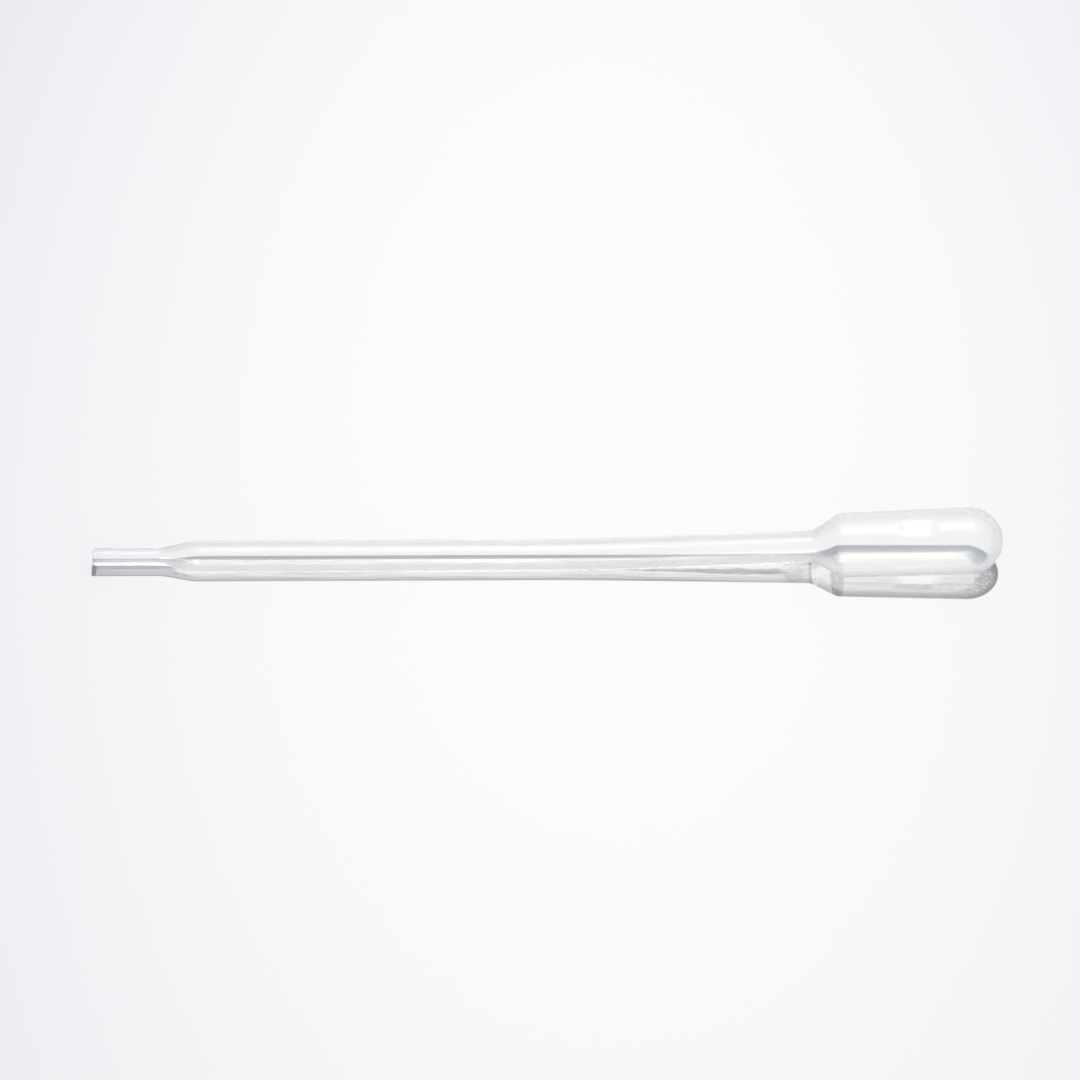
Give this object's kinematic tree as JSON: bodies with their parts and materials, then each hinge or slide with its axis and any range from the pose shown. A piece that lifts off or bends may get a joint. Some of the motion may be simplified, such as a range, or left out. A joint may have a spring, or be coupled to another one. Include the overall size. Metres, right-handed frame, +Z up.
{
  "type": "plastic dropper pipette",
  "caption": "One-piece moulded dropper pipette with a fine open tip, a long slim stem and a squeeze bulb with a domed end.",
  "frame": {"origin": "on the bench, under the middle of the box of the pipette as it lies", "axes": "+X from the tip to the bulb along the straight half of the stem, +Z up from the bench"},
  "size_m": [0.1498, 0.011, 0.0121],
  "materials": {
    "clear_polyethylene": "clear, slightly milky low-density polyethylene with a soft moulded gloss"
  },
  "bodies": {
    "root": {"pipette": "clear_polyethylene"}
  },
  "joints": []
}
